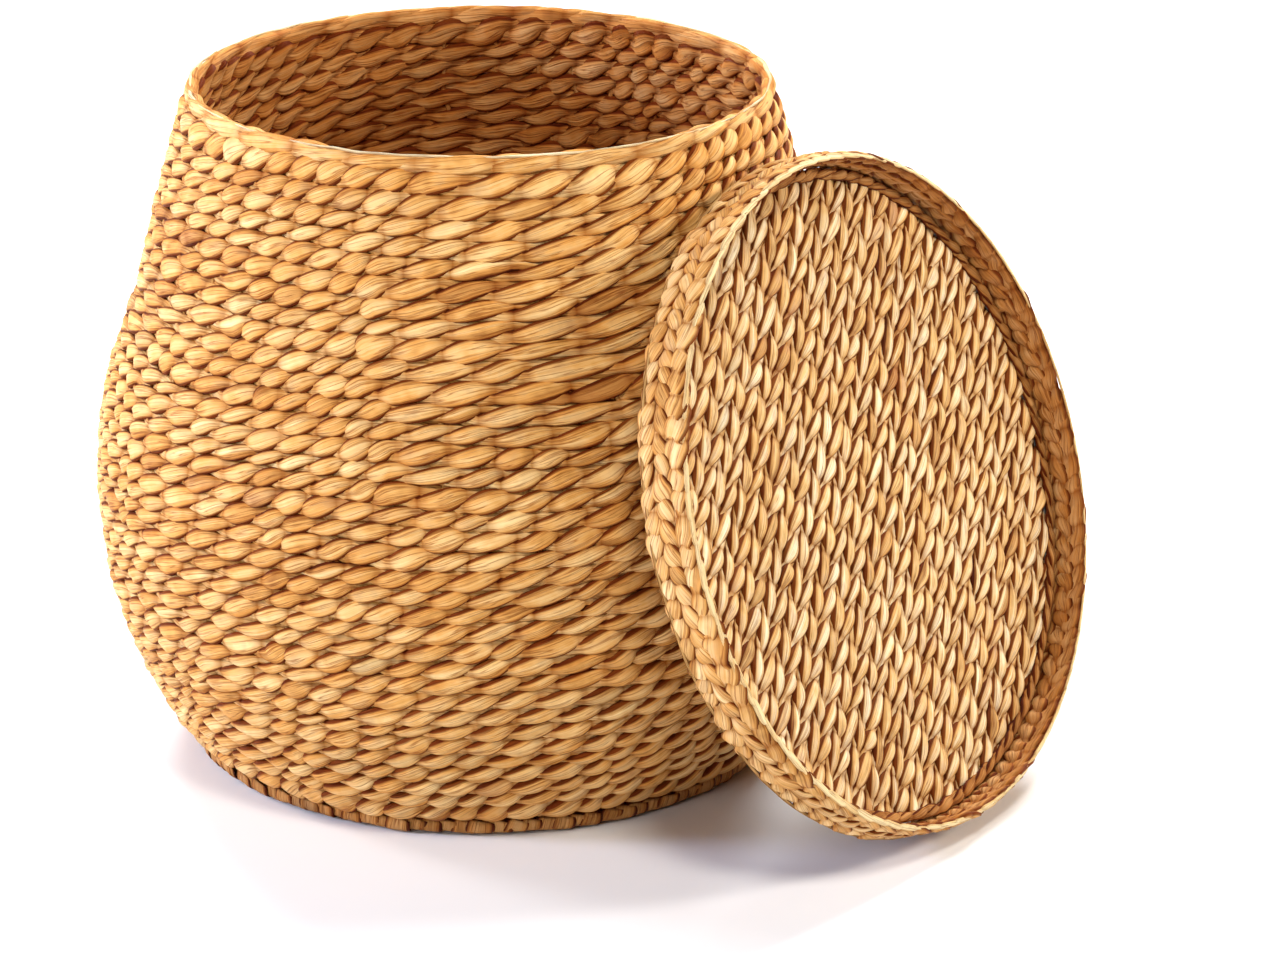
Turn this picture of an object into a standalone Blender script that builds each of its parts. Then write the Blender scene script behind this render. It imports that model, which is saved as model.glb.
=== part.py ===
"""Woven laundry basket with a loose, shallow lid leaning on its side.

Metres, +Z up. The origin is the middle of the basket's underside, and the lid leans
on the basket towards +X and -Y. Each turn of the wall's twined strands is one ring.
"""
import math

import bmesh
import bpy
from mathutils import Matrix, Vector

# ---------------------------------------------------------------- driving dimensions
# The basket's outline: height and outer radius, a wide belly under a narrower mouth.
OUTLINE = [
    (0.0000, 0.1990),
    (0.0460, 0.2285),
    (0.1100, 0.2525),
    (0.1900, 0.2605),
    (0.2550, 0.2525),
    (0.3190, 0.2310),
    (0.3900, 0.2125),
    (0.4555, 0.1930),
]
SIDES = 28                  # flats round every ring
COURSES = 35                # turns of the twined strands, floor to rim
WALL = 0.0110               # thickness of the twined wall
CROWN = 0.0024              # how far a course bulges past its edges
GAP = 0.00035               # clearance between neighbouring pieces
UPRIGHTS = 7
UPRIGHT_WIDTH = 0.0030
UPRIGHT_STEPS = 13

SKIN = 0.0013               # thickness of the flat strip wrapped over a hoop
HOOP = 0.0050               # thickness of a hoop's wire
RIM_HEIGHT = 0.0095
BASE_HEIGHT = 0.0120
BINDING = 0.0125            # width of a binding, outside to inside
BASE_THICKNESS = 0.0090

LID_RADIUS = 0.2245
LID_HEIGHT = 0.0310
LID_PANEL = 0.0100
LID_WALL = 0.0125
LID_COURSES = 2
LID_BINDING_HEIGHT = 0.0110
LID_CENTRE = (0.2450, -0.1357)      # where the lid's panel centre stands, seen from above
LID_LEAN = math.radians(19.5)       # how far the lid leans back from upright
LID_BEARING = math.radians(-34.8)   # the way its hollow side faces, from +X

HEIGHT = OUTLINE[-1][0]

STRAW = (0.62, 0.40, 0.19)
DARK_STRAW = (0.45, 0.26, 0.11)
PALE_STRAW = (0.78, 0.62, 0.40)
STEEL = (0.16, 0.13, 0.11)


# ---------------------------------------------------------------- the outline curve
def outline_slope(index):
    """Slope of the outline at one of its points, from the points on either side."""
    before = OUTLINE[max(index - 1, 0)]
    after = OUTLINE[min(index + 1, len(OUTLINE) - 1)]
    return (after[1] - before[1]) / (after[0] - before[0])


def outline_radius(z):
    """Outer radius at height z, on a smooth curve through OUTLINE."""
    index = 0
    while index < len(OUTLINE) - 2 and z > OUTLINE[index + 1][0]:
        index += 1
    z0, r0 = OUTLINE[index]
    z1, r1 = OUTLINE[index + 1]
    span = z1 - z0
    t = (z - z0) / span
    m0 = outline_slope(index) * span
    m1 = outline_slope(index + 1) * span
    return (
        (2 * t**3 - 3 * t**2 + 1) * r0
        + (t**3 - 2 * t**2 + t) * m0
        + (3 * t**2 - 2 * t**3) * r1
        + (t**3 - t**2) * m1
    )


def outline_point(z, depth=0.0):
    """A point (radius, height) that lies depth inside the outline, square to it."""
    step = 0.0005
    rise = outline_radius(z + step) - outline_radius(z - step)
    normal = Vector((2 * step, -rise)).normalized()
    return Vector((outline_radius(z), z)) - normal * depth


def wall_heights(low, high, count):
    """Heights that split the outline between low and high into equal lengths."""
    samples = 400
    heights = [low + (high - low) * i / samples for i in range(samples + 1)]
    lengths = [0.0]
    for a, b in zip(heights, heights[1:]):
        lengths.append(lengths[-1] + (outline_point(b) - outline_point(a)).length)
    picked = []
    for k in range(count + 1):
        target = lengths[-1] * k / count
        i = next(j for j, length in enumerate(lengths) if length >= target - 1e-9)
        picked.append(heights[i])
    return picked


# ---------------------------------------------------------------- building helpers
def material(name, colour, roughness, metallic=0.0):
    made = bpy.data.materials.new(name)
    made.use_nodes = True
    shader = made.node_tree.nodes["Principled BSDF"]
    shader.inputs["Base Color"].default_value = (*colour, 1.0)
    shader.inputs["Roughness"].default_value = roughness
    shader.inputs["Metallic"].default_value = metallic
    return made


def add_object(name, bm, finish, parent=None, place=None):
    bmesh.ops.recalc_face_normals(bm, faces=bm.faces)
    mesh = bpy.data.meshes.new(name)
    bm.to_mesh(mesh)
    bm.free()
    mesh.materials.append(finish)
    made = bpy.data.objects.new(name, mesh)
    bpy.context.collection.objects.link(made)
    if parent is not None:
        made.parent = parent
        made.matrix_local = place
    return made


def turned(name, section, finish, parent=None, place=None):
    """A ring: a closed section of (radius, height) points spun about Z."""
    bm = bmesh.new()
    corners = [bm.verts.new((r, 0.0, z)) for r, z in section]
    edges = [bm.edges.new((a, b)) for a, b in zip(corners, corners[1:] + corners[:1])]
    bmesh.ops.spin(
        bm,
        geom=corners + edges,
        cent=(0, 0, 0),
        axis=(0, 0, 1),
        angle=math.tau,
        steps=SIDES,
        use_merge=True,
    )
    return add_object(name, bm, finish, parent, place)


def disc(name, radius, low, high, finish, parent=None, place=None):
    bm = bmesh.new()
    bmesh.ops.create_cone(
        bm,
        cap_ends=True,
        segments=SIDES,
        radius1=radius,
        radius2=radius,
        depth=high - low,
        matrix=Matrix.Translation((0, 0, (low + high) / 2)),
    )
    return add_object(name, bm, finish, parent, place)


def hoop(name, radius, height, finish, parent=None, place=None):
    """A wire hoop with a six-sided section."""
    section = []
    for k in range(6):
        angle = math.tau * k / 6
        section.append((radius + HOOP / 2 * math.cos(angle), height + HOOP / 2 * math.sin(angle)))
    return turned(name, section, finish, parent, place)


def channel(name, outer, closed_end, open_end, finish, parent=None, place=None):
    """A strip folded over a hoop: a U section, shut at closed_end and open at open_end."""
    side = math.copysign(1.0, closed_end - open_end)
    inner = outer - BINDING
    section = [
        (outer, open_end),
        (outer, closed_end - side * SKIN),
        (outer - SKIN, closed_end),
        (inner + SKIN, closed_end),
        (inner, closed_end - side * SKIN),
        (inner, open_end),
        (inner + SKIN, open_end),
        (inner + SKIN, closed_end - side * 1.5 * SKIN),
        (outer - SKIN, closed_end - side * 1.5 * SKIN),
        (outer - SKIN, open_end),
    ]
    return turned(name, section, finish, parent, place)


# ---------------------------------------------------------------- the basket
def wall_course(name, low, high, finish):
    """One turn of the twined wall, with a crowned outer face."""
    low += GAP / 2
    high -= GAP / 2
    section = [
        outline_point(low, CROWN),
        outline_point((low + high) / 2),
        outline_point(high, CROWN),
        outline_point(high, WALL),
        outline_point(low, WALL),
    ]
    turned(name, section, finish)


def upright(name, bearing, low, high, finish):
    """A thin square rod that follows the wall's inner face."""
    bm = bmesh.new()
    turn = Matrix.Rotation(bearing, 4, "Z")
    near = WALL + 3 * GAP
    far = near + UPRIGHT_WIDTH
    half = UPRIGHT_WIDTH / 2
    rows = []
    for k in range(UPRIGHT_STEPS + 1):
        z = low + (high - low) * k / UPRIGHT_STEPS
        outside = outline_point(z, near)
        inside = outline_point(z, far)
        square = [(outside, -half), (outside, half), (inside, half), (inside, -half)]
        rows.append([bm.verts.new(turn @ Vector((p.x, side, p.y))) for p, side in square])
    for lower, upper in zip(rows, rows[1:]):
        for i in range(4):
            j = (i + 1) % 4
            bm.faces.new((lower[i], lower[j], upper[j], upper[i]))
    bm.faces.new(rows[0])
    bm.faces.new(rows[-1])
    add_object(name, bm, finish)


def build_basket(straw, dark_straw, pale_straw, steel):
    heights = wall_heights(BASE_HEIGHT, HEIGHT - RIM_HEIGHT, COURSES)
    for k in range(COURSES):
        wall_course(f"wall_course_{k + 1:02d}", heights[k], heights[k + 1], straw)

    base_radius = outline_radius(BASE_HEIGHT / 2) + CROWN / 2
    rim_radius = outline_radius(HEIGHT) + CROWN
    channel("base_binding", base_radius, 0.0, BASE_HEIGHT - GAP, dark_straw)
    hoop("base_hoop", base_radius - BINDING / 2, BASE_HEIGHT / 2, steel)
    disc("base_panel", base_radius - BINDING - GAP, 0.0, BASE_THICKNESS, dark_straw)
    channel("rim_binding", rim_radius, HEIGHT, HEIGHT - RIM_HEIGHT + GAP, pale_straw)
    hoop("rim_hoop", rim_radius - BINDING / 2, HEIGHT - RIM_HEIGHT / 2, steel)

    foot = BASE_HEIGHT + GAP
    head = HEIGHT - RIM_HEIGHT - GAP
    for k in range(UPRIGHTS):
        upright(f"upright_{k + 1}", math.tau * k / UPRIGHTS, foot, head, steel)


# ---------------------------------------------------------------- the lid
def lid_pose():
    """Where the lid leans at rest: its +Z is the way its hollow side faces."""
    facing = Vector((
        math.cos(LID_LEAN) * math.cos(LID_BEARING),
        math.cos(LID_LEAN) * math.sin(LID_BEARING),
        math.sin(LID_LEAN),
    ))
    height = LID_RADIUS * math.cos(LID_LEAN) + GAP
    centre = Vector((*LID_CENTRE, height))
    turn = Vector((0, 0, 1)).rotation_difference(facing)
    return Matrix.Translation(centre) @ turn.to_matrix().to_4x4()


def lid_pivot(rest):
    """The one axis that swings the leaning lid out, over, and down onto the rim."""
    facing = (rest.to_3x3() @ Vector((0, 0, 1))).normalized()
    closed = Vector((0, 0, HEIGHT + LID_PANEL + 2 * GAP))
    down = Vector((0, 0, -1))
    travel = closed - rest.translation
    axis = (facing - down).cross(travel).normalized()
    before = facing - axis * facing.dot(axis)
    after = down - axis * down.dot(axis)
    angle = math.atan2(before.cross(after).dot(axis), before.dot(after))
    middle = (closed + rest.translation) / 2
    return middle + axis.cross(travel) / (2 * math.tan(angle / 2)), axis, math.tau + angle


def build_lid(straw, pale_straw, steel):
    rest = lid_pose()
    point, axis, swing = lid_pivot(rest)
    pivot = bpy.data.objects.new("lid_pivot", None)
    bpy.context.collection.objects.link(pivot)
    pivot.location = point
    pivot["axis"] = axis
    pivot["swing"] = swing
    place = Matrix.Translation(-point) @ rest

    inner = LID_RADIUS - LID_WALL
    disc("lid_panel", inner - HOOP - 2 * GAP, 0.0, LID_PANEL, straw, pivot, place)
    hoop("lid_panel_hoop", inner - HOOP / 2 - GAP, LID_PANEL / 2, steel, pivot, place)

    binding_low = LID_HEIGHT - LID_BINDING_HEIGHT
    pitch = binding_low / LID_COURSES
    for k in range(LID_COURSES):
        low = k * pitch + (GAP if k else 0.0)
        high = (k + 1) * pitch
        section = [
            (LID_RADIUS - CROWN / 2, low),
            (LID_RADIUS, (low + high) / 2),
            (LID_RADIUS - CROWN / 2, high),
            (inner, high),
            (inner, low),
        ]
        turned(f"lid_rim_course_{k + 1}", section, straw, pivot, place)
    channel("lid_edge_binding", LID_RADIUS, LID_HEIGHT, binding_low + GAP, pale_straw, pivot, place)
    wire = LID_RADIUS - BINDING / 2
    hoop("lid_edge_hoop", wire, LID_HEIGHT - LID_BINDING_HEIGHT / 2, steel, pivot, place)


def build():
    for old in list(bpy.data.objects):
        bpy.data.objects.remove(old, do_unlink=True)
    straw = material("straw", STRAW, 0.75)
    dark_straw = material("dark_straw", DARK_STRAW, 0.8)
    pale_straw = material("pale_straw", PALE_STRAW, 0.7)
    steel = material("steel", STEEL, 0.45, 0.8)
    build_basket(straw, dark_straw, pale_straw, steel)
    build_lid(straw, pale_straw, steel)


build()
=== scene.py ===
"""Looks for the woven laundry basket: twined water hyacinth, a wrapped rim and a loose lid."""
import math

import bpy
import numpy as np
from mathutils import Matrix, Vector


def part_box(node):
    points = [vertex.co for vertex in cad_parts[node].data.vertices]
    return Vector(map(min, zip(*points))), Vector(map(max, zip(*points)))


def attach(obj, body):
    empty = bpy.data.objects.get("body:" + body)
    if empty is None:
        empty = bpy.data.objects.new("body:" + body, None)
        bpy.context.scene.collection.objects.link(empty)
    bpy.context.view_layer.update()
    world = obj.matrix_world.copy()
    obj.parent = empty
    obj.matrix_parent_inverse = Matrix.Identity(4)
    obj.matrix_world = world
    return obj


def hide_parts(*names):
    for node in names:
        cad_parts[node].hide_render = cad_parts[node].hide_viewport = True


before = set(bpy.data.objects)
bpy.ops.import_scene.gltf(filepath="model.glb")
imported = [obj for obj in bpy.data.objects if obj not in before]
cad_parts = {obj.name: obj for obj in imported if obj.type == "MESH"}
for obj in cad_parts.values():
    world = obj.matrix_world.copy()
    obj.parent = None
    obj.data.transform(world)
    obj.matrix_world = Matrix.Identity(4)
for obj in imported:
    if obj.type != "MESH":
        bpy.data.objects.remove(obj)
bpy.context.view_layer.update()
rng = np.random.default_rng(11)
TAU = math.tau
MM = 0.001

# ------------------------------------------------------------------ the weave's sizes
# Counts of stakes round a ring are odd, so that a strand that goes round twice meets itself.
COURSES = 35
STAKES_LOW = 65             # stakes round the foot and belly
STAKES_HIGH = 49            # stakes that reach the rim
DROP_FROM = 22              # the course where stakes begin to end
DROP_EACH = 4               # stakes that end at each of the next courses; even, to keep the count odd
STAKE_STRAY = 0.04          # a stake that would turn by more radians than this in a course has ended
LID_ROW = 11.1 * MM         # from one row of the lid's panel to the next
LID_STAKE = 22.0 * MM       # from one stake of the lid's panel to the next
BASE_ROW = 12.6 * MM        # the same two for the basket's bottom
BASE_STAKE = 25.0 * MM
LID_EDGE_STAKES = 89        # places where strands cross round the lid's edge
LID_WALL_STAKES = 103       # the same for each of the lid's side rows
RIM_CROSSINGS = 27          # the same for the strip wound round the basket's rim
LID_TURN = math.radians(47)  # the way the lid's rows run, from level, seen from its hollow side
SIDE = 4.0 * MM             # the fibre coordinate reaches this at a strand's side and its face


# ------------------------------------------------------------------ small array helpers
def unit(v):
    return v / np.linalg.norm(v, axis=-1, keepdims=True)


def smooth(t):
    t = np.clip(t, 0.0, 1.0)
    return t * t * (3.0 - 2.0 * t)


def per_stake(values, u, sharp=0.3):
    """Values given at each stake, held along a grain and blended where strands cross."""
    i = np.floor(u).astype(int)
    f = smooth((u - i - 0.5) / sharp + 0.5)
    n = len(values)
    return values[i % n] * (1 - f) + values[(i + 1) % n] * f


def flowing(values, u):
    """Values given at each stake, blended smoothly all the way."""
    i = np.floor(u).astype(int)
    f = smooth(u - i)
    n = len(values)
    return values[i % n] * (1 - f) + values[(i + 1) % n] * f


def plain(count, tone, hue=0.0, tuck=0.0):
    """Tone, hue and tuck at each step of a strand, each from one value or from an array."""
    flat = np.ones(count)
    return flat * tone, flat * hue, flat * tuck


def mesh_points(node):
    """The vertices of a CAD node, in world coordinates."""
    mesh = bpy.data.objects[node].data
    points = np.empty(len(mesh.vertices) * 3)
    mesh.vertices.foreach_get("co", points)
    return points.reshape(-1, 3)


def walk(count, pull=0.7):
    """A random walk that keeps near zero."""
    out = np.zeros(count)
    for k in range(1, count):
        out[k] = pull * out[k - 1] + rng.normal() * math.sqrt(1 - pull * pull)
    return out


# ------------------------------------------------------------------ turning strands into meshes
def section_angles(front, back):
    """Angles round a section, most of them on the side that faces out of the weave."""
    seen = np.linspace(0, math.pi, front)
    hidden = np.linspace(math.pi, TAU, back + 2)[1:-1]
    return np.concatenate([seen, hidden])


FULL = section_angles(9, 5)
LIGHT = section_angles(7, 3)
ROUND = np.arange(8) * TAU / 8


def along_strand(length, spacing, make, closed):
    """Random values every spacing metres, read off along the strand and joined up if it closes."""
    total = max(length[-1], 1e-6)
    knots = max(4, int(total / spacing))
    values = make(knots)
    if closed:
        values = values + (values[0] - values[-1]) * np.arange(knots) / (knots - 1)
    return np.interp(length / total * (knots - 1), np.arange(knots), values)


def round_ring(count, spacing, make):
    """The same for count even steps round a ring, with a random value every spacing steps."""
    return along_strand(np.arange(float(count)), spacing, make, True)


def folds(length, angles, wrinkle, crease, closed):
    """Swelling of a strand's sections, about 1: soft lengthwise ripples and two sharp creases."""
    ripple = np.ones((len(length), len(angles)))
    for m in (3, 5, 7):
        soft = wrinkle / math.sqrt(m)
        shift = along_strand(length, 0.03, lambda k: np.cumsum(rng.normal(0, 0.8, k)), closed)
        much = along_strand(length, 0.02, lambda k: rng.uniform(0.2, 1.0, k) * soft, closed)
        ripple += much[:, None] * np.cos(m * angles[None, :] + shift[:, None])
    for spread in (0.35, 0.75):
        place = along_strand(length, 0.028, lambda k: 0.5 * math.pi + rng.normal(0, spread, k), closed)
        depth = along_strand(length, 0.014, lambda k: crease * rng.uniform(0, 1, k) ** 1.6, closed)
        gap = angles[None, :] - place[:, None]
        ripple -= depth[:, None] * np.exp(-((gap / 0.24) ** 2))
    return ripple


class Piece:
    """Collects strands, then becomes one mesh object."""

    def __init__(self):
        self.verts = []
        self.faces = []
        self.caps = []
        self.fibre = []
        self.grain = []
        self.count = 0

    def strand(self, path, wide, thin, w, h, tone, hue, tuck, closed, angles=FULL, wrinkle=0.1,
               crease=0.24, part=0.0, side_shade=1.0):
        """A flattened strand along path, w wide and h thick (half sizes), with lengthwise folds.

        wide is its way across and thin the way it faces. tone runs from dark to light, hue from
        olive to reddish, and tuck is how far it is tucked under the next strand, which sets the painted
        shade there. part is how much its two sides differ in tone, and margin how far the painted shade
        along both of its sides reaches.
        """
        n = len(path)
        ring = len(angles)
        if closed:
            ahead = np.roll(path, -1, axis=0) - np.roll(path, 1, axis=0)
        else:
            ahead = np.gradient(path, axis=0)
        along = unit(ahead)
        wide = unit(wide - along * np.sum(wide * along, axis=1, keepdims=True))
        side = np.cross(along, wide)
        flip = np.sum(side * thin) < 0
        if flip:
            side = -side
        steps = np.linalg.norm(np.diff(path, axis=0), axis=1)
        length = np.concatenate([[0.0], np.cumsum(steps)])
        c = np.cos(angles)
        s = np.sin(angles)
        ripple = folds(length, angles, wrinkle, crease, closed)
        x = w[:, None] * c * (0.65 + 0.35 * ripple)
        y = h[:, None] * (np.sign(s) * np.abs(s) ** 0.72) * ripple
        points = path[:, None, :] + wide[:, None, :] * x[..., None] + side[:, None, :] * y[..., None]
        offset = rng.uniform(0, 50)
        fibre = np.broadcast_arrays(length[:, None] + offset, SIDE * side_shade * c, SIDE * s)
        split = np.clip(c / 0.35, -1, 1) * np.broadcast_to(part, n)[:, None]
        grain = np.broadcast_arrays(tone[:, None] + split, hue[:, None], tuck[:, None])
        rows = np.arange(n) * ring
        spot = np.arange(ring)
        nxt = (spot + 1) % ring
        low = rows if closed else rows[:-1]
        high = np.roll(rows, -1) if closed else rows[1:]
        corners = [low[:, None] + spot, low[:, None] + nxt, high[:, None] + nxt, high[:, None] + spot]
        quads = np.stack(corners, axis=-1).reshape(-1, 4)
        if flip:
            quads = quads[:, ::-1]
        self.faces.append(quads + self.count)
        if not closed:
            first = spot + self.count
            last = spot + rows[-1] + self.count
            self.caps.append(first if flip else first[::-1])
            self.caps.append(last[::-1] if flip else last)
        self.verts.append(points.reshape(-1, 3))
        self.fibre.append(np.stack(fibre, axis=-1).reshape(-1, 3))
        self.grain.append(np.stack(grain, axis=-1).reshape(-1, 3))
        self.count += n * ring

    def build(self, name, body, slot, material, *nodes):
        """Makes the mesh object, which rides body and replaces the CAD nodes, if any are given."""
        verts = np.concatenate(self.verts)
        quads = np.concatenate(self.faces)
        mesh = bpy.data.meshes.new(name)
        corners = np.concatenate([quads.reshape(-1)] + self.caps).astype(np.int32)
        sizes = np.concatenate([np.full(len(quads), 4), [len(cap) for cap in self.caps]])
        starts = np.concatenate([[0], np.cumsum(sizes)[:-1]]).astype(np.int32)
        mesh.vertices.add(len(verts))
        mesh.vertices.foreach_set("co", verts.reshape(-1))
        mesh.loops.add(len(corners))
        mesh.loops.foreach_set("vertex_index", corners)
        mesh.polygons.add(len(sizes))
        mesh.polygons.foreach_set("loop_start", starts)
        mesh.update(calc_edges=True)
        mesh.validate()
        for label, data in (("fibre", self.fibre), ("grain", self.grain)):
            layer = mesh.attributes.new(label, "FLOAT_VECTOR", "POINT")
            layer.data.foreach_set("vector", np.concatenate(data).reshape(-1))
        mesh.shade_smooth()
        mesh.materials.append(material)
        made = bpy.data.objects.new(name, mesh)
        bpy.context.collection.objects.link(made)
        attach(made, body)
        if nodes:
            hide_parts(*nodes)
        return made


def strand_colours(count):
    """Tone and hue for each stake along a strand: leaves of different age spliced end to end."""
    tone = 0.62 + 0.06 * walk(count, 0.85) + rng.normal(0, 0.06, count)
    hue = 0.12 * walk(count, 0.6)
    k = 0
    while k < count:
        run = int(rng.integers(1, 4))
        pick = rng.uniform()
        if pick < 0.08:
            hue[k:k + run] += rng.uniform(0.2, 0.9)
            tone[k:k + run] -= rng.uniform(0.0, 0.25)
        elif pick < 0.13:
            hue[k:k + run] -= rng.uniform(0.3, 0.8)
            tone[k:k + run] -= rng.uniform(-0.1, 0.15)
        k += run + int(rng.integers(0, 4))
    return np.clip(tone, 0, 1), np.clip(hue, -1, 1)


def climb(phase, reach):
    """From -1 to 1 and back over a turn: the visible half goes on climbing reach past where strands cross."""
    way = np.angle(np.exp(1j * phase))
    size = np.abs(way)
    front = size * 0.5 * math.pi / (0.5 * math.pi + reach)
    behind = (math.pi - size) * 0.5 * math.pi / (0.5 * math.pi - reach)
    return np.sign(way) * np.sin(np.where(size < 0.5 * math.pi + reach, front, behind))


def twine(piece, path_at, span, closed, size, twist=1.0, start=0.0, steps=9, angles=FULL):
    """A twined pair of flat strands, each in front of one stake and behind the next.

    path_at(u) gives, for a count of stakes u, the pair's middle, its outward way, its way
    across and how much it swells. A closed pair is one strand that goes round twice;
    an open pair is two strands.

    size has, in metres, how far the strands go out and across from the pair's middle, and
    their half sizes: wide by thin in front of a stake, pinch by round where they cross.
    It may also have taper (how sharply they narrow), reach (how far past a crossing the front
    strand goes on climbing), lead (how far its rise runs ahead), roll (how far it tips over),
    uneven and loose (how much the turns and the sizes vary) and margin (how far the painted
    shade along a strand's sides reaches). reach, lead and roll are in radians.
    """
    first, last = span
    stakes = int(math.ceil(last - first)) + (0 if closed else 2)
    total = int(round((last - first) * steps))
    t = np.arange(total + (0 if closed else 1)) / steps
    u = first + t
    middle, out, across, swell = path_at(u)
    ways = stakes // 2 if closed else stakes
    loose = size.get("loose", 1.0)
    shared = start + flowing(rng.normal(0, size.get("uneven", 0.3), ways), t)
    lead = size.get("lead", 0.15)
    roll = twist * size.get("roll", 0.3)
    for side in (0.0,) if closed else (0.0, math.pi):
        turns = stakes // 2 + (0 if closed else 2)
        phase = math.pi * u + side + shared
        grain = phase / TAU - math.floor(phase[0] / TAU)
        fat = per_stake(rng.normal(1.0, 0.1 * loose, turns), grain)
        thick = per_stake(rng.normal(1.0, 0.1 * loose, turns), grain)
        shift = per_stake(rng.normal(0, 0.05 * loose * size["wide"], turns), grain)
        lift = size["out"] * np.cos(phase + lead)
        rise = twist * size["across"] * swell * climb(phase, size.get("reach", 0.4)) + shift
        bulge = np.abs(np.cos(phase)) ** size.get("taper", 0.8)
        w = (size["pinch"] + (size["wide"] - size["pinch"]) * bulge) * fat * swell
        h = (size["round"] + (size["thin"] - size["round"]) * bulge) * thick
        path = middle + out * lift[:, None] + across * rise[:, None]
        turn = roll * np.sin(phase)
        thin = out * np.cos(turn)[:, None] + across * np.sin(turn)[:, None]
        wide = across * np.cos(turn)[:, None] - out * np.sin(turn)[:, None]
        if not closed:
            ends = smooth(t / 0.25) * smooth((t[-1] - t) / 0.25)
            w = w * (0.3 + 0.7 * ends)
            h = h * (0.3 + 0.7 * ends)
        tone, hue = strand_colours(turns)
        part = np.where(rng.uniform(size=turns) < 0.15, rng.normal(0, 0.18, turns), 0.0)
        # tuck is 1 where the strand goes under the next one; the material turns it into painted shade.
        tuck = 1 - np.abs(np.cos(phase))
        colours = (per_stake(tone, grain), per_stake(hue, grain), tuck)
        piece.strand(path, wide, thin, w, h, *colours, closed, angles=angles,
                     part=per_stake(part, grain), side_shade=size.get("side_shade", 1.0))


# ------------------------------------------------------------------ materials
class Nodes:
    """A little shorthand for building node trees."""

    def __init__(self, name):
        self.material = bpy.data.materials.new(name)
        self.material.use_nodes = True
        self.tree = self.material.node_tree
        self.shader = self.tree.nodes["Principled BSDF"]

    def add(self, kind, **settings):
        node = self.tree.nodes.new(kind)
        for key, value in settings.items():
            setattr(node, key, value)
        return node

    def link(self, a, b):
        self.tree.links.new(a, b)

    def maths(self, operation, a, b=None, c=None, clamp=False):
        node = self.add("ShaderNodeMath", operation=operation, use_clamp=clamp)
        for socket, value in zip(node.inputs, (a, b, c)):
            if value is None:
                continue
            if isinstance(value, (int, float)):
                socket.default_value = value
            else:
                self.link(value, socket)
        return node.outputs[0]

    def scaled(self, vector, scale):
        node = self.add("ShaderNodeVectorMath", operation="MULTIPLY")
        self.link(vector, node.inputs[0])
        node.inputs[1].default_value = scale
        return node.outputs[0]

    def noise(self, vector, detail=2.0, rough=0.5):
        node = self.add("ShaderNodeTexNoise")
        node.inputs["Scale"].default_value = 1.0
        node.inputs["Detail"].default_value = detail
        node.inputs["Roughness"].default_value = rough
        self.link(vector, node.inputs["Vector"])
        return node.outputs["Fac"]

    def ramp(self, value, stops):
        node = self.add("ShaderNodeValToRGB")
        ramp = node.color_ramp
        while len(ramp.elements) < len(stops):
            ramp.elements.new(0.5)
        for element, (place, colour) in zip(ramp.elements, stops):
            element.position = place
            element.color = (*colour, 1.0)
        self.link(value, node.inputs[0])
        return node.outputs[0]

    def mix(self, factor, a, b, blend="MIX"):
        node = self.add("ShaderNodeMix", data_type="RGBA", blend_type=blend)
        for socket, value in ((node.inputs[0], factor), (node.inputs[6], a), (node.inputs[7], b)):
            if isinstance(value, (int, float)):
                socket.default_value = value
            elif isinstance(value, tuple):
                socket.default_value = (*value, 1.0)
            else:
                self.link(value, socket)
        return node.outputs[2]

    def bump(self, height, strength, distance):
        node = self.add("ShaderNodeBump")
        node.inputs["Strength"].default_value = strength
        node.inputs["Distance"].default_value = distance
        self.link(height, node.inputs["Height"])
        self.link(node.outputs[0], self.shader.inputs["Normal"])


RED_LEAF = (0.40, 0.135, 0.03)
OLIVE_LEAF = (0.37, 0.25, 0.12)
CRACK_SHADE = (0.40, 0.18, 0.07)          # painted shade in the narrow lengthwise cracks
TUCK_SHADE = (0.52, 0.29, 0.11)         # painted shade on the ends that go under the next strand
UNDERSIDE_AND_SHADE = (0.72, 0.56, 0.45)         # darkens the side that faces into the weave: partly the leaf's darker underside, partly painted shade on the shaded insides
# Painted shade across a strand, by its distance from the middle: none in the middle, a little towards its
# sides, dark brown in the creases along them.
SIDE_SHADE_RAMP = [(0.25, (1, 1, 1)), (0.66, (0.94, 0.80, 0.60)), (0.86, (0.24, 0.08, 0.02))]


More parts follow.
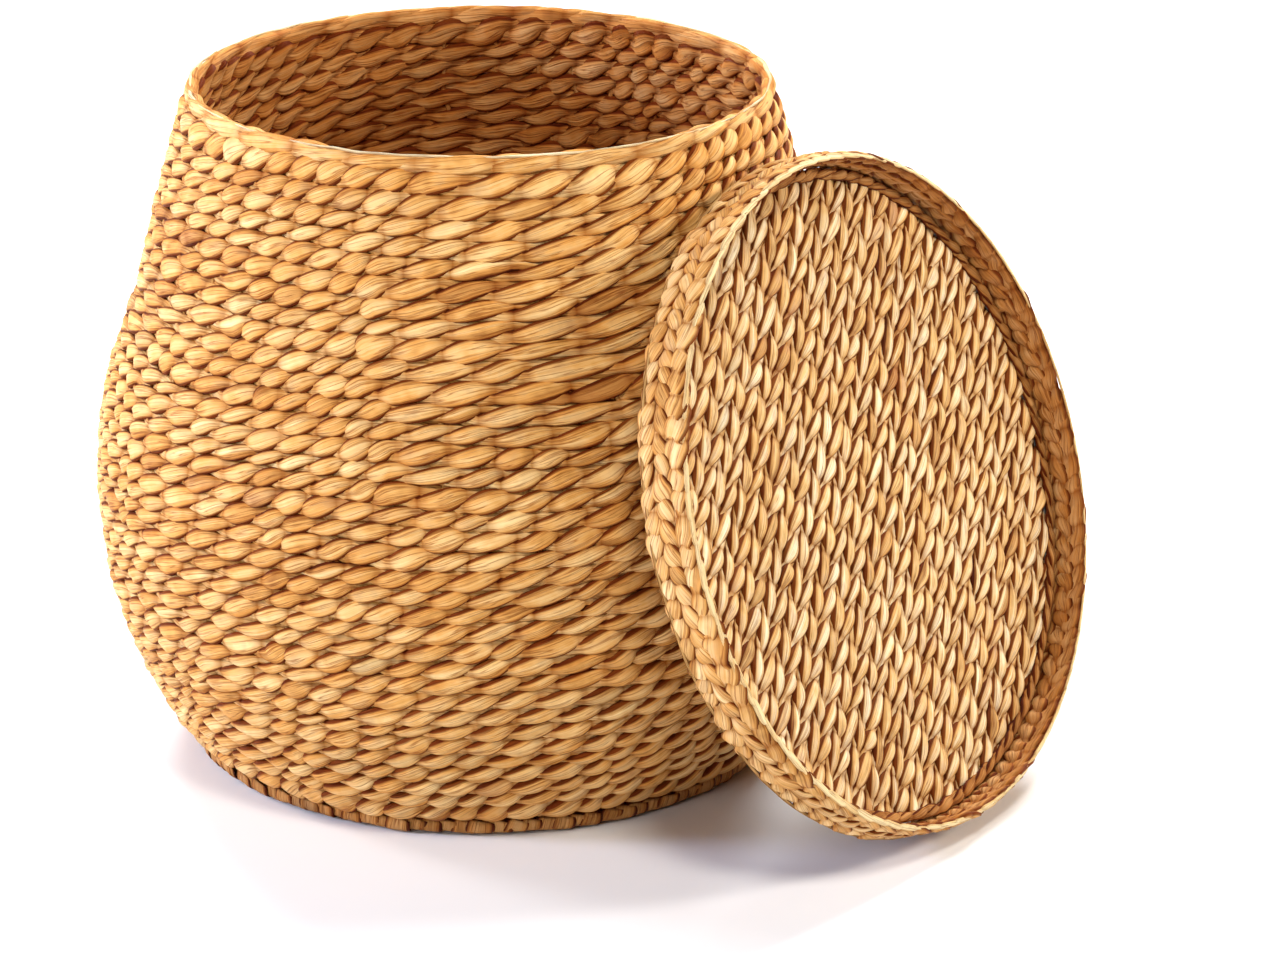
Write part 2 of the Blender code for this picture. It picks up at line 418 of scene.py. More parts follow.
def hyacinth(name, dark, mid, light, rough=0.5):
    """Dried water hyacinth: lengthwise fibres, creases, and leaves of different colour, with painted shade in
    its cracks, along its sides, under the next strand and, in part, on its inner face.
    """
    m = Nodes(name)
    fibre = m.add("ShaderNodeAttribute", attribute_name="fibre").outputs["Vector"]
    grain = m.add("ShaderNodeAttribute", attribute_name="grain").outputs["Vector"]
    split = m.add("ShaderNodeSeparateXYZ")
    m.link(grain, split.inputs[0])
    tone, hue, tuck = split.outputs
    fine = m.noise(m.scaled(fibre, (26, 1700, 1700)), 3.0, 0.6)
    broad = m.noise(m.scaled(fibre, (14, 560, 560)), 2.0, 0.5)
    blotch = m.noise(m.scaled(fibre, (60, 110, 110)), 2.0, 0.6)
    value = m.maths("MULTIPLY_ADD", m.maths("SUBTRACT", fine, 0.5), 0.7, tone)
    value = m.maths("MULTIPLY_ADD", m.maths("SUBTRACT", broad, 0.5), 0.5, value)
    value = m.maths("MULTIPLY_ADD", m.maths("SUBTRACT", blotch, 0.5), 0.9, value, clamp=True)
    colour = m.ramp(value, [(0.0, dark), (0.48, mid), (1.0, light)])
    reddish = m.maths("MULTIPLY", m.maths("MAXIMUM", hue, 0.0), 0.62, clamp=True)
    reddish = m.maths("MULTIPLY_ADD", m.maths("SUBTRACT", blotch, 0.56), 2.2, reddish, clamp=True)
    colour = m.mix(reddish, colour, RED_LEAF)
    greenish = m.maths("MAXIMUM", m.maths("MULTIPLY", hue, -1.0), 0.0)
    colour = m.mix(m.maths("MULTIPLY", greenish, 0.5, clamp=True), colour, OLIVE_LEAF)
    # Painted shade in the narrow lengthwise cracks, which the bump below also sinks.
    away = m.maths("ABSOLUTE", m.maths("SUBTRACT", broad, 0.5))
    crack = m.ramp(away, [(0.0, (1, 1, 1)), (0.03, (0, 0, 0))])
    colour = m.mix(m.maths("MULTIPLY", crack, 0.7), colour, CRACK_SHADE, "MULTIPLY")
    place = m.add("ShaderNodeSeparateXYZ")
    m.link(fibre, place.inputs[0])
    # Painted shade towards a strand's sides, darkest in the creases between strands.
    sideways = m.maths("MULTIPLY", m.maths("ABSOLUTE", place.outputs[1]), 1 / SIDE)
    colour = m.mix(1.0, colour, m.ramp(sideways, SIDE_SHADE_RAMP), "MULTIPLY")
    # Painted shade where a strand goes under the next one.
    tuck_shade = m.maths("MULTIPLY", m.maths("POWER", tuck, 3.0), 0.85)
    colour = m.mix(tuck_shade, colour, TUCK_SHADE, "MULTIPLY")
    # The side that faces into the weave is darker: partly the leaf's darker underside, partly painted shade
    # for the shaded insides of the basket and the lid.
    back = m.add("ShaderNodeMapRange")
    m.link(place.outputs[2], back.inputs["Value"])
    back.inputs["From Min"].default_value = 0.0
    back.inputs["From Max"].default_value = -0.5 * SIDE
    colour = m.mix(m.maths("MULTIPLY", back.outputs[0], 0.9), colour, UNDERSIDE_AND_SHADE, "MULTIPLY")
    m.link(colour, m.shader.inputs["Base Color"])
    gloss = m.add("ShaderNodeMapRange")
    m.link(fine, gloss.inputs["Value"])
    gloss.inputs["From Min"].default_value = 0.3
    gloss.inputs["From Max"].default_value = 0.7
    gloss.inputs["To Min"].default_value = rough - 0.1
    gloss.inputs["To Max"].default_value = rough + 0.18
    m.link(gloss.outputs[0], m.shader.inputs["Roughness"])
    m.shader.inputs["Specular IOR Level"].default_value = 0.07
    height = m.maths("MULTIPLY_ADD", broad, 1.4, fine)
    height = m.maths("MULTIPLY_ADD", crack, -0.5, height)
    m.bump(height, 0.75, 1.1 * MM)
    return m.material


def metal(name, colour):
    """Dark painted wire, slightly worn."""
    m = Nodes(name)
    place = m.add("ShaderNodeNewGeometry").outputs["Position"]
    speck = m.noise(m.scaled(place, (900, 900, 900)), 3.0, 0.6)
    worn = m.ramp(speck, [(0.35, colour), (0.7, tuple(1.5 * c for c in colour))])
    m.link(worn, m.shader.inputs["Base Color"])
    m.shader.inputs["Metallic"].default_value = 0.6
    m.shader.inputs["Roughness"].default_value = 0.45
    m.bump(speck, 0.3, 0.3 * MM)
    return m.material


STRAW = hyacinth("straw", (0.28, 0.088, 0.017), (0.74, 0.37, 0.10), (0.98, 0.71, 0.34))
LID_STRAW = hyacinth("lid_straw", (0.24, 0.085, 0.022), (0.76, 0.475, 0.19), (1.0, 0.91, 0.67))
EDGE_STRAW = hyacinth("edge_straw", (0.24, 0.08, 0.018), (0.71, 0.375, 0.115), (0.97, 0.72, 0.38))
LIP = hyacinth("lip_straw", (0.42, 0.20, 0.06), (0.78, 0.50, 0.20), (0.95, 0.75, 0.42))
PALE = hyacinth("pale_straw", (0.55, 0.32, 0.11), (0.86, 0.64, 0.32), (0.97, 0.84, 0.55), rough=0.42)
# Straw darkened as painted shade, for parts that sit in shadow: the leaves tucked under the foot, the stakes
# and strips deep in the weave, and the cords in the lid's joint.
SHADED_STRAW = hyacinth("dark_straw", (0.16, 0.05, 0.012), (0.42, 0.18, 0.045), (0.66, 0.36, 0.13))
STEEL = metal("steel", (0.10, 0.095, 0.09))


# ------------------------------------------------------------------ ways round the basket and the lid
class Ring:
    """A round frame: a middle, an axis, and two directions square to it."""

    def __init__(self, middle, axis, start):
        self.middle = np.asarray(middle, float)
        self.axis = unit(np.asarray(axis, float))
        self.start = unit(np.asarray(start, float))
        self.quarter = np.cross(self.axis, self.start)

    def outward(self, bearing):
        return np.cos(bearing)[:, None] * self.start + np.sin(bearing)[:, None] * self.quarter

    def at(self, bearing, radius, height):
        radius = np.broadcast_to(radius, bearing.shape)
        height = np.broadcast_to(height, bearing.shape)
        return self.middle + self.outward(bearing) * radius[:, None] + self.axis * height[:, None]

    def spread(self, node):
        """Smallest and largest radius and height of a CAD node in this frame."""
        points = mesh_points(node) - self.middle
        height = points @ self.axis
        radius = np.linalg.norm(points - height[:, None] * self.axis, axis=1)
        return radius.min(), radius.max(), height.min(), height.max()


BASKET = Ring((0, 0, 0), (0, 0, 1), (1, 0, 0))


def wave(parts, bearing, row=0):
    """The sum of waves at a bearing; drifting parts move on a little from row to row."""
    return sum(a * np.cos(m * bearing + p + row * d) for m, p, a, d in parts)


def waves(orders, size, drift=0.0):
    """One random wave for each count of humps round the ring in orders."""
    return [(m, rng.uniform(0, TAU), rng.normal(0, size), rng.normal(0, drift)) for m in orders]


def ring_path(ring, bearings, radius, height, lean, bend=(), lift=(), row=0, lane=None):
    """The middle of a twined pair that runs round a ring, at any count of its stakes.

    lane(bearing) gives how far the pair strays across and how much it swells.
    """
    count = len(bearings)
    knots = np.concatenate([bearings, bearings[:1] + TAU])
    normal_r = math.cos(lean)
    normal_h = math.sin(lean)

    def at(u):
        lap = np.floor(u / count)
        bearing = np.interp(u - lap * count, np.arange(count + 1), knots)
        outward = ring.outward(bearing)
        out = outward * normal_r + ring.axis * normal_h
        across = ring.axis * normal_r - outward * normal_h
        middle = ring.at(bearing, radius, height)
        middle = middle + out * (wave(bend, bearing, row) + 0 * bearing)[:, None]
        stray, swell = lane(bearing) if lane else (0 * bearing, 1 + 0 * bearing)
        middle = middle + across * (wave(lift, bearing, row) + stray)[:, None]
        return middle, out, across, swell

    return at


def even(count, jitter):
    """Bearings spread evenly round a ring, apart from jitter, a share of their spacing."""
    return (np.arange(count) + rng.normal(0, jitter, count)) * TAU / count


def circle(count):
    """Bearings in even steps all the way round."""
    return np.arange(count) * TAU / count


def hoop(ring, name, node, body, radius, height, thick):
    """A wire hoop; thick is half the wire's thickness."""
    piece = Piece()
    steps = 180
    bearing = circle(steps)
    path = ring.at(bearing, radius, height)
    size = np.full(steps, thick)
    axis = np.broadcast_to(ring.axis, path.shape)
    piece.strand(path, axis, ring.outward(bearing), size, size, *plain(steps, 0.5), True,
                 angles=ROUND, wrinkle=0, crease=0)
    piece.build(name, body, "steel", STEEL, node)


def wraps(piece, ring, profile, count, half, thin, tilt, slant):
    """Short leaves folded over a ring's edge, each lying over the next like scales.

    profile has the radius and height of each point that a leaf is folded over, half and thin
    are a leaf's half sizes, tilt lifts one of its sides, and slant moves its two ends opposite
    ways round the ring.
    """
    profile = np.asarray(profile)
    gaps = np.linalg.norm(np.diff(profile, axis=0), axis=1)
    mark = np.concatenate([[0.0], np.cumsum(gaps)])
    steps = 13
    s = np.linspace(0, mark[-1], steps)
    radius = np.interp(s, mark, profile[:, 0])
    height = np.interp(s, mark, profile[:, 1])
    for _ in range(2):
        radius[1:-1] = (radius[:-2] + 2 * radius[1:-1] + radius[2:]) / 4
        height[1:-1] = (height[:-2] + 2 * height[1:-1] + height[2:]) / 4
    run_r = np.gradient(radius)
    run_h = np.gradient(height)
    size = np.hypot(run_r, run_h)
    face_r = -run_h / size
    face_h = run_r / size
    sign = np.sign(np.sum(face_r * (radius - radius.mean()) + face_h * (height - height.mean())))
    tone, hue = strand_colours(count)
    t = np.linspace(-1, 1, steps)
    for k in range(count):
        start = (k + rng.normal(0, 0.12)) * TAU / count
        swing = slant * (1 + rng.normal(0, 0.35))
        bearing = start + swing * t / radius.max()
        puff = rng.normal(0, 0.4 * MM) + 0.5 * MM * np.cos(t * rng.uniform(1, 4) + rng.uniform(0, TAU))
        r = radius + sign * face_r * puff
        h = height + sign * face_h * puff
        path = ring.at(bearing, r, h)
        outward = ring.outward(bearing)
        normal = sign * (outward * face_r[:, None] + ring.axis * face_h[:, None])
        tangent = np.cross(ring.axis, outward)
        lean = tilt * (1 + rng.normal(0, 0.3))
        wide = tangent + normal * lean
        broad = half * (1 + rng.normal(0, 0.12))
        w = broad * (0.86 + 0.14 * np.sqrt(np.clip(1 - t**2, 0, 1)))
        th = thin * (1 + rng.normal(0, 0.15)) * (0.6 + 0.4 * np.sqrt(np.clip(1 - t**4, 0, 1)))
        # The ends of each leaf get painted shade, where they go under the next leaf.
        colours = plain(steps, tone[k], hue[k], 0.6 * np.abs(t) ** 6)
        piece.strand(path, wide, normal, w, th, *colours, False, angles=LIGHT, wrinkle=0.16, crease=0.45)


# ------------------------------------------------------------------ the basket's wall
WALL_NODES = [f"wall_course_{k + 1:02d}" for k in range(COURSES)]
crest_r = np.array([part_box(node)[1][0] for node in WALL_NODES])
crest_z = np.array([sum(BASKET.spread(node)[2:]) / 2 for node in WALL_NODES])
wall_lean = np.arctan2(-np.gradient(crest_r), np.gradient(crest_z))
wall_pitch = np.hypot(np.gradient(crest_r), np.gradient(crest_z))

ROPE = {"out": 2.4 * MM, "thin": 3.5 * MM, "round": 3.0 * MM, "uneven": 0.22, "reach": 0.42, "taper": 0.7}
ROPE_SHARES = {"wide": 0.52, "across": 0.265, "pinch": 0.255}  # of the course's own pitch
ROPE_DEPTH = 5.6 * MM       # from the wall's outside to the middle of its strands
FOOT_REACH = 6.0 * MM       # how far the first course swells down into the base binding
RIM_REACH = 3.6 * MM        # how far the last course swells up under the rim


def stake_bearings():
    """Where each course's stakes stand. A few end at each course where the wall narrows."""
    bearings = np.sort(even(STAKES_LOW, 0.1))
    rows = []
    for k in range(COURSES):
        if k >= DROP_FROM and len(bearings) > STAKES_HIGH:
            start = int(rng.integers(0, len(bearings)))
            gone = [(start + i * len(bearings) // DROP_EACH) % len(bearings) for i in range(DROP_EACH)]
            bearings = np.delete(bearings, gone)
        before = np.roll(bearings, 1)
        before[0] -= TAU
        after = np.roll(bearings, -1)
        after[-1] += TAU
        bearings = bearings + 0.25 * ((before + after) / 2 - bearings)
        bearings = bearings + rng.normal(0, 0.008, len(bearings))
        rows.append(bearings.copy())
    return rows


STAKES = stake_bearings()
BENDS = waves((2, 3, 4, 5), 0.45 * MM, 0.12)
LIFTS = waves((1, 2, 3, 4, 5, 7), 0.5 * MM, 0.25)
EDGES = [waves(range(1, 10), 0.33 * MM) for _ in range(COURSES + 1)]


def wall_radius(row):
    """The radius at which the middle of a course's strands runs."""
    return crest_r[row] - ROPE_DEPTH * math.cos(wall_lean[row])


def wall_height(row):
    """The height at which the middle of a course's strands runs."""
    return crest_z[row] - ROPE_DEPTH * math.sin(wall_lean[row])


def wall_lane(row):
    """Courses share wavy borders, so one swells where the next is squeezed."""

    def at(bearing):
        low = wave(EDGES[row], bearing) - (FOOT_REACH if row == 0 else 0.0)
        high = wave(EDGES[row + 1], bearing) + (RIM_REACH if row == COURSES - 1 else 0.0)
        return (low + high) / 2, 1 + (high - low) / wall_pitch[row]

    return at


def build_wall():
    """Twined courses, two to a piece."""
    for first in range(0, COURSES, 2):
        piece = Piece()
        rows = range(first, min(first + 2, COURSES))
        for row in rows:
            size = dict(ROPE, **{key: share * wall_pitch[row] for key, share in ROPE_SHARES.items()})
            path = ring_path(BASKET, STAKES[row], wall_radius(row), wall_height(row), wall_lean[row],
                             BENDS, LIFTS, row, wall_lane(row))
            twine(piece, path, (0, 2 * len(STAKES[row])), True, size, 1.0, rng.normal(0, 0.8))
        nodes = [WALL_NODES[row] for row in rows]
        piece.build(f"wall_weave_{first // 2 + 1:02d}", "basket", "straw", STRAW, *nodes)


def build_stakes():
    """Thin stakes inside the wall, seen only through the gaps of the weave."""
    piece = Piece()
    tone = strand_colours(STAKES_LOW)[0]
    for k in range(STAKES_LOW):
        points = []
        bearing = STAKES[0][k]
        for row in range(COURSES):
            steps = np.angle(np.exp(1j * (STAKES[row] - bearing)))
            step = steps[np.argmin(np.abs(steps))]
            if abs(step) > STAKE_STRAY:
                break
            bearing += step
            points.append(BASKET.at(np.array([bearing]), wall_radius(row) - 0.8 * MM, wall_height(row))[0])
        if len(points) < 4:
            continue
        path = np.array(points)
        size = np.full(len(path), 1.6 * MM)
        out = unit(path * np.array([1, 1, 0]))
        wide = np.cross(BASKET.axis, out)
        # A darker tone than the wall, and a little painted shade (tuck) all along.
        colours = plain(len(path), 0.35 + 0.3 * tone[k], 0, 0.3)
        piece.strand(path, wide, out, size * 1.3, size, *colours, False, angles=ROUND)
    nodes = [f"upright_{k}" for k in range(1, 8)]
    piece.build("wall_stakes", "basket", "straw", STRAW, *nodes)


def build_rim():
    """A strip wound round the rim, its hoop, and the pale strip along its top."""
    r_in, r_out, z_low, z_high = BASKET.spread("rim_binding")
    middle = (r_in + r_out) / 2
    size = {"out": 1.4 * MM, "across": 1.5 * MM, "wide": 5.2 * MM, "pinch": 3.7 * MM, "thin": 3.2 * MM,
            "round": 3.2 * MM, "loose": 1.2, "side_shade": 0.7}
    piece = Piece()
    bend = waves((3, 5, 8, 11), 0.2 * MM)
    lift = waves((4, 7, 12, 17), 0.25 * MM)
    bearings = even(RIM_CROSSINGS, 0.12)
    path = ring_path(BASKET, bearings, middle + 0.3 * MM, z_low + 3.2 * MM, 0.1, bend, lift)
    twine(piece, path, (0, 2 * RIM_CROSSINGS), True, size, steps=16)
    piece.build("rim_wraps", "basket", "straw", STRAW, "rim_binding")
    hoop(BASKET, "rim_ring", "rim_hoop", "basket", middle, (z_low + z_high) / 2, 1.6 * MM)
    piece = Piece()
    steps = 600
    bearing = circle(steps)
    flow = round_ring(steps, 7, lambda k: rng.uniform(-0.4 * MM, 0.4 * MM, k))
    sway = round_ring(steps, 9, lambda k: rng.normal(0, 0.35 * MM, k))
    path = BASKET.at(bearing, middle + 1.2 * MM + sway, z_high - 1.2 * MM + flow)
    out = BASKET.outward(bearing)
    up = np.broadcast_to(BASKET.axis, out.shape)
    slope = round_ring(steps, 11, lambda k: rng.normal(-0.1, 0.25, k))
    wide = out + up * slope[:, None]
    half = round_ring(steps, 8, lambda k: rng.normal(1.7 * MM, 0.45 * MM, k))
    thin = np.full(steps, 0.8 * MM)
    colours = plain(steps, round_ring(steps, 20, lambda k: rng.normal(0.6, 0.2, k)))
    piece.strand(path, wide, up, half, thin, *colours, True, crease=0.1, side_shade=0.5)
    piece.build("rim_edge", "basket", "pale_straw", PALE, "rim_binding")


def build_base():
    """Short upright leaves folded under the basket's foot, and the hoop inside them."""
    r_in, r_out, z_low, z_high = BASKET.spread("base_binding")
    piece = Piece()
    inside = [(r_in + 1 * MM, z_high), (r_in + 0.5 * MM, z_low + 4 * MM)]
    under = [(r_in + 2.5 * MM, z_low + 2.5 * MM), (r_out - 6.0 * MM, z_low + 2.5 * MM)]
    outside = [(r_out - 3.4 * MM, z_low + 4.4 * MM), (r_out - 2.4 * MM, z_high)]
    wraps(piece, BASKET, inside + under + outside, 116, 8.8 * MM, 1.2 * MM, 0.05, 2.0 * MM)
    # The leaves take the shaded straw: painted shade for the shadow under the lowest course.
    piece.build("base_wraps", "basket", "dark_straw", SHADED_STRAW, "base_binding")
    hoop(BASKET, "base_ring", "base_hoop", "basket", (r_in + r_out) / 2, (z_low + z_high) / 2, 1.8 * MM)


SHORTEST_ROW = 0.6          # half a row's length, in stakes; shorter ones are left out


def rows_path(ring, way, stack, offset, height, pitch, bend):
    """Straight rows across a disc: u counts stakes from the row's middle."""

    def at(u):
        x = u * pitch
        sway = bend * np.sin(x / 0.07 + offset / 0.04)
        middle = ring.middle + ring.axis * height + way * x[:, None] + stack * (offset + sway)[:, None]
        out = np.broadcast_to(ring.axis, middle.shape)
        across = np.broadcast_to(stack, middle.shape)
        return middle, out, across, np.ones(len(x))

    return at


def woven_disc(ring, reach, height, row_pitch, stake_pitch, way, size, steps, angles):
    """Countered twining on a disc: rows turn to alternate hands. Returns a piece for each hand."""
    stack = np.cross(ring.axis, way)
    count = int(2 * reach / row_pitch)
    pieces = (Piece(), Piece())
    for k in range(count):
        offset = (k - (count - 1) / 2) * row_pitch
        half = math.sqrt(max(reach**2 - offset**2, 0)) / stake_pitch
        if half < SHORTEST_ROW:
            continue
        path = rows_path(ring, way, stack, offset, height, stake_pitch, 0.8 * MM)
        twist = 1.0 if k % 2 else -1.0
        span = (-half + rng.uniform(-0.05, 0.05), half + rng.uniform(-0.05, 0.05))
        twine(pieces[k % 2], path, span, False, size, twist, 0.0, steps, angles)
    return pieces


def disc_stakes(name, ring, reach, height, pitch, way, body, slot, thick, shift=0.0, broad=1.4, tone=0.6):
    """Stakes across a disc, square to its rows, with half sizes of thick and broad times thick.

    shift moves them along by that share of their pitch.
    """
    stack = np.cross(ring.axis, way)
    piece = Piece()
    steps = 24
    h = np.full(steps, thick)
    half_count = int(reach / pitch)
    for k in range(-half_count, half_count + 1):
        place = (k + shift) * pitch
        if abs(place) > reach - thick:
            continue
        half = math.sqrt(reach**2 - place**2)
        t = np.linspace(-half, half, steps)
        path = ring.middle + ring.axis * height + way * place + stack * t[:, None]
        normal = np.broadcast_to(ring.axis, path.shape)
        wide = np.broadcast_to(way, path.shape)
        piece.strand(path, wide, normal, h * broad, h, *plain(steps, tone, 0, 0.2), False, angles=ROUND)
    # The shaded straw and a little tuck: painted shade for stakes and strips that lie deep in the weave.
    piece.build(name, body, slot, SHADED_STRAW)


def build_bottom():
    """Twined rows and stakes of the basket's bottom."""
    r_out = BASKET.spread("base_panel")[1]
    size = {"out": 1.7 * MM, "across": 2.9 * MM, "wide": 7.2 * MM, "pinch": 2.6 * MM, "thin": 2.2 * MM,
            "round": 2.1 * MM}
    way = np.array([math.cos(0.3), math.sin(0.3), 0.0])
    height = 4.5 * MM
    pieces = woven_disc(BASKET, r_out + 1 * MM, height, BASE_ROW, BASE_STAKE, way, size, 6, LIGHT)
    for piece, name in zip(pieces, ("bottom_rows_a", "bottom_rows_b")):
        piece.build(name, "basket", "straw", STRAW, "base_panel")
    disc_stakes("bottom_stakes", BASKET, r_out, height, BASE_STAKE, way, "basket", "straw", 1.0 * MM)


build_wall()
build_stakes()
build_rim()
build_base()
build_bottom()


# ------------------------------------------------------------------ the lid
def lid_ring():
    """The lid's own frame, from its outer face towards its hollow side, and the way up its face."""
    points = mesh_points("lid_panel")
    middle = points.mean(axis=0)
    axis = np.linalg.svd(points - middle)[2][2]
    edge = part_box("lid_edge_binding")
    axis = axis * np.sign(np.dot((np.array(edge[0]) + np.array(edge[1])) / 2 - middle, axis))
    level = np.abs((points - middle) @ axis).max()
    up = unit(np.array([0, 0, 1.0]) - axis * axis[2])
    return Ring(middle - axis * level, axis, np.cross(up, axis)), up


LID, LID_UP = lid_ring()
LID_WAY = LID.start * math.cos(LID_TURN) + LID_UP * math.sin(LID_TURN)
LID_ROPE = {"out": 1.5 * MM, "across": 2.4 * MM, "wide": 5.8 * MM, "pinch": 2.2 * MM, "thin": 2.9 * MM,
            "round": 2.0 * MM, "reach": 0.6, "lead": 0.0, "roll": 0.0, "side_shade": 1.15}


def build_lid_panel():
    """Twined rows and stakes of the lid's panel, and the hoop at its edge."""
    r_out, low, high = LID.spread("lid_panel")[1:]
    middle = (low + high) / 2
    pieces = woven_disc(LID, r_out + 5 * MM, middle, LID_ROW, LID_STAKE, LID_WAY, LID_ROPE, 9, FULL)
    for piece, name in zip(pieces, ("lid_rows_falling", "lid_rows_rising")):
        piece.build(name, "lid", "lid_straw", LID_STRAW, "lid_panel")
    disc_stakes("lid_stakes", LID, r_out + 3 * MM, middle, LID_STAKE, LID_WAY, "lid", "lid_straw", 1.1 * MM)
    hoop(LID, "lid_panel_ring", "lid_panel_hoop", "lid", r_out + 2.6 * MM, middle, 1.6 * MM)


def build_lid_wall():
    """The lid's two side rows, and the cords along the joint between them and the panel, darkened as painted
    shade.
    """
    bend = waves((2, 3, 5, 9), 0.25 * MM)
    lift = waves((3, 5, 8, 13), 0.3 * MM)
    for k in range(2):
        node = f"lid_rim_course_{k + 1}"
        r_in, r_out, low, high = LID.spread(node)
        piece = Piece()
        size = {"out": 1.7 * MM, "across": 2.4 * MM, "wide": 6.6 * MM, "pinch": 3.8 * MM, "thin": 2.5 * MM,
                "round": 2.7 * MM, "loose": 1.4, "side_shade": 0.92}
        bearings = even(LID_WALL_STAKES, 0.12) + 0.5 * k * TAU / LID_WALL_STAKES
        level = (low + high) / 2 + (k - 0.5) * MM
        path = ring_path(LID, bearings, (r_in + r_out) / 2, level, 0.0, bend, lift)
        twist = 1.0 if k % 2 else -1.0
        twine(piece, path, (0, 2 * LID_WALL_STAKES), True, size, twist, steps=8)
        piece.build(f"lid_wall_{k + 1}", "lid", "lid_straw", EDGE_STRAW, node)
    r_out, low, high = LID.spread("lid_panel")[1:]
    piece = Piece()
    size = {"out": 1.0 * MM, "across": 1.2 * MM, "wide": 3.6 * MM, "pinch": 2.0 * MM, "thin": 1.9 * MM,
            "round": 1.8 * MM, "loose": 1.6}
    for level in (high - 1.0 * MM, low + 2.0 * MM):
        path = ring_path(LID, even(LID_EDGE_STAKES, 0.1), r_out + 2.8 * MM, level, math.pi / 2)
        twine(piece, path, (0, 2 * LID_EDGE_STAKES), True, size, steps=7, angles=LIGHT)
    piece.build("lid_seam", "lid", "dark_straw", SHADED_STRAW)


def build_lid_edge():
    """The wraps and the hoop at the lid's open edge, and its pale lip."""
    r_in, r_out, _, high = LID.spread("lid_edge_binding")
    middle = (r_in + r_out) / 2 - 0.3 * MM
    level = high - 6.1 * MM
    piece = Piece()
    size = {"out": 1.0 * MM, "across": 1.9 * MM, "wide": 6.9 * MM, "pinch": 5.2 * MM, "thin": 2.3 * MM,
            "round": 2.7 * MM, "loose": 1.2, "uneven": 0.35, "side_shade": 0.88}
    bend = waves((3, 5, 8, 11), 0.2 * MM)
    lift = waves((4, 7, 12, 17), 0.2 * MM)
    count = LID_EDGE_STAKES
    path = ring_path(LID, even(count, 0.1), middle, level, 0.1, bend, lift)
    twine(piece, path, (0, 2 * count), True, size, -1.0, rng.uniform(0, TAU), steps=8)
    piece.build("lid_edge_wraps", "lid", "lid_straw", EDGE_STRAW, "lid_edge_binding")
    hoop(LID, "lid_edge_ring", "lid_edge_hoop", "lid", middle, level, 1.2 * MM)
    piece = Piece()
    steps = 9
    t = np.linspace(-1, 1, steps)
    for k in range(count):
        bearing = (k + rng.normal(0, 0.06) + 0.64 * t) * TAU / count
        saw = t * rng.uniform(0.3, 1.0) * MM
        path = LID.at(bearing, middle - 0.5 * MM + 0.8 * saw, high + 0.7 * MM - 0.4 * saw)
        out = LID.outward(bearing)
        up = np.broadcast_to(LID.axis, out.shape)
        w = 1.9 * MM * (0.4 + 0.6 * np.sqrt(1 - t**4)) * rng.uniform(0.7, 1.3)
        h = np.full(steps, 0.9 * MM)
        colours = plain(steps, rng.uniform(0.7, 1.1))
        piece.strand(path, out - 0.5 * up, up + 0.5 * out, w, h, *colours, False, angles=LIGHT, side_shade=0.6)
    add_border_cord(piece, r_out - 3.3 * MM)
    piece.build("lid_lip", "lid", "pale_straw", LIP, "lid_edge_binding")


def add_border_cord(piece, radius):
    """A thin cord round the border of the lid's outer face."""
    steps = 500
    bearing = circle(steps)
    sway = round_ring(steps, 5, lambda k: rng.normal(0, 0.35 * MM, k))
    path = LID.at(bearing, radius + sway, 1.5 * MM + sway[::-1])
    out = LID.outward(bearing)
    w = np.full(steps, 1.1 * MM)
    h = np.full(steps, 0.8 * MM)
    piece.strand(path, out - LID.axis, out + LID.axis, w, h, *plain(steps, 0.35), True, angles=LIGHT)


def build_lid_gap_shade():
    """Flat strips between the stakes, which close the gaps where two rows part; their dark tone is painted
    shade for the shadow deep in those gaps.
    """
    r_out, low, high = LID.spread("lid_panel")[1:]
    disc_stakes("lid_gap_shade", LID, r_out + 1 * MM, (low + high) / 2, LID_STAKE, LID_WAY, "lid", "lid_straw",
                0.6 * MM, shift=0.5, broad=7.0, tone=0.25)


build_lid_panel()
build_lid_wall()
build_lid_edge()
build_lid_gap_shade()


# ------------------------------------------------------------------ floor, light and camera
LAMP_AWAY = 2.6             # from the basket's axis, at the height of AIM, to each lamp
AIM = (0.08, 0, 0.2)        # the point that the lamps face
LOOK_DOWN = math.radians(20.07)
SENSOR = 36.0               # millimetres across
IMAGE_WIDTH = 1274
FOCAL = 4503                # the lens's focal length, where the sensor is IMAGE_WIDTH across


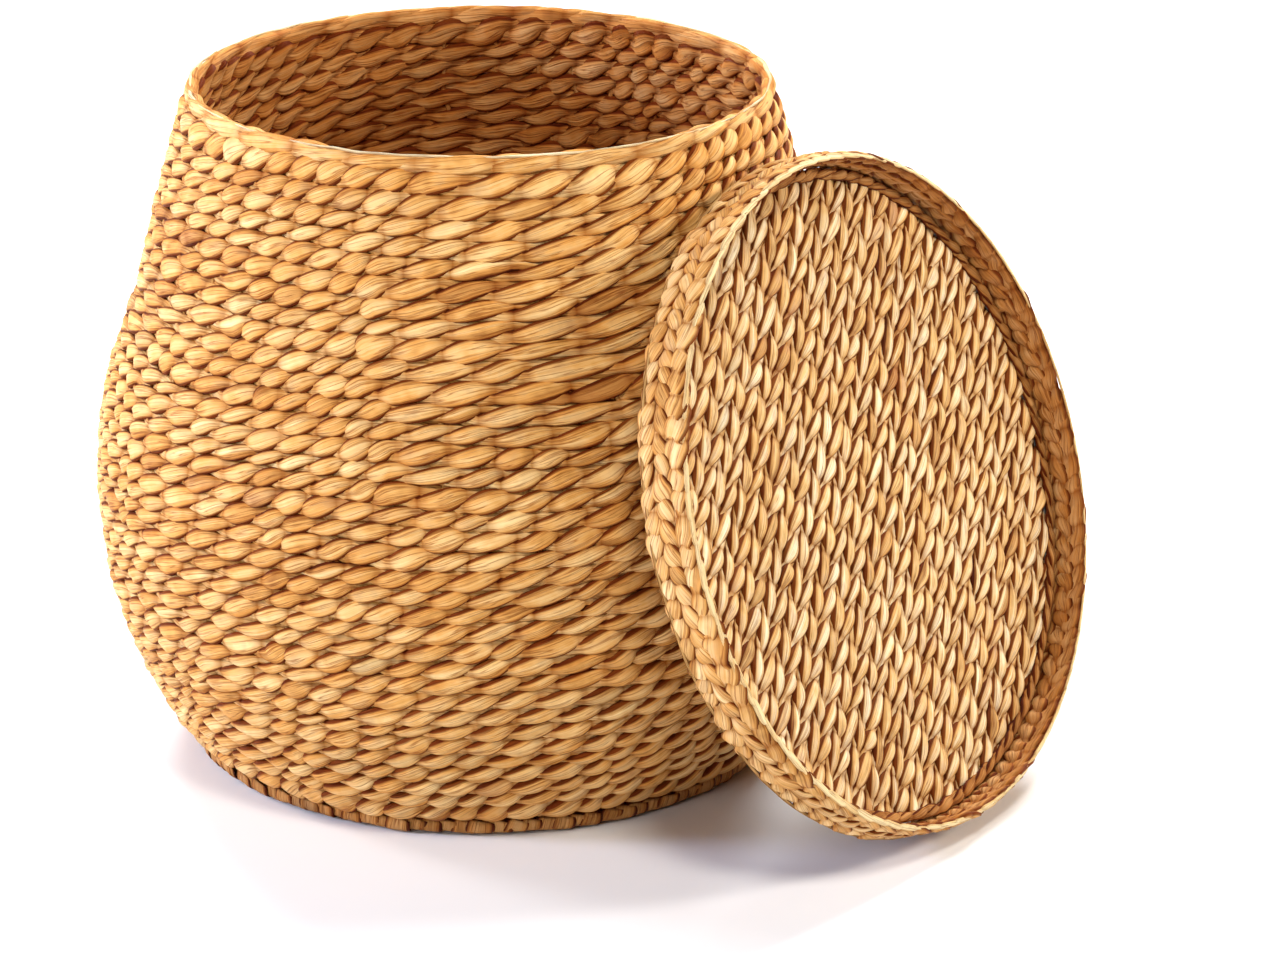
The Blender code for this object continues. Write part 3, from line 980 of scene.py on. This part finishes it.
def build_floor():
    mesh = bpy.data.meshes.new("floor")
    size = 12.0
    corners = [(-size, -size, 0), (size, -size, 0), (size, size, 0), (-size, size, 0)]
    mesh.from_pydata(corners, [], [(0, 1, 2, 3)])
    floor = bpy.data.objects.new("floor", mesh)
    bpy.context.collection.objects.link(floor)
    m = Nodes("floor_white")
    m.shader.inputs["Base Color"].default_value = (0.79, 0.795, 0.81, 1)
    m.shader.inputs["Roughness"].default_value = 0.7
    mesh.materials.append(m.material)


def studio_lamp(name, bearing, rise, power, size=0.7, colour=(1, 1, 1)):
    """A soft box; bearing is measured from the camera's side, to the right."""
    flat = LAMP_AWAY * math.cos(math.radians(rise))
    turn = math.radians(bearing)
    height = AIM[2] + LAMP_AWAY * math.sin(math.radians(rise))
    place = (flat * math.sin(turn), -flat * math.cos(turn), height)
    data = bpy.data.lights.new(name, "AREA")
    data.shape = "SQUARE"
    data.size = size
    data.energy = power
    data.color = colour
    made = bpy.data.objects.new(name, data)
    made.location = place
    made.rotation_euler = (Vector(AIM) - Vector(place)).to_track_quat("-Z", "Y").to_euler()
    bpy.context.collection.objects.link(made)


def build_light():
    world = bpy.data.worlds.new("studio")
    world.use_nodes = True
    background = world.node_tree.nodes["Background"]
    background.inputs["Color"].default_value = (1, 1, 1, 1)
    background.inputs["Strength"].default_value = 0.08
    bpy.context.scene.world = world
    studio_lamp("left_key", -75, 20, 44, 0.5, (0.93, 1.0, 1.35))
    studio_lamp("left_back", -110, 20, 40, 0.5)
    studio_lamp("front_left", -30, 18, 16)
    studio_lamp("front_top", 12, 52, 36, 0.5, (1.0, 0.95, 0.86))
    studio_lamp("right", 85, 22, 42, 0.4, (1.0, 0.95, 0.88))
    studio_lamp("back_right", 140, 42, 70)
    studio_lamp("back_left", -150, 42, 50)
    bpy.context.scene.view_settings.view_transform = "Standard"


def build_camera():
    data = bpy.data.cameras.new("camera")
    data.sensor_width = SENSOR
    data.lens = SENSOR * FOCAL / IMAGE_WIDTH
    data.clip_end = 50
    camera = bpy.data.objects.new("camera", data)
    camera.location = (0.103, -2.868, 1.218)
    camera.rotation_euler = (math.radians(90) - LOOK_DOWN, 0, 0)
    bpy.context.collection.objects.link(camera)
    bpy.context.scene.camera = camera


build_floor()
build_light()
build_camera()
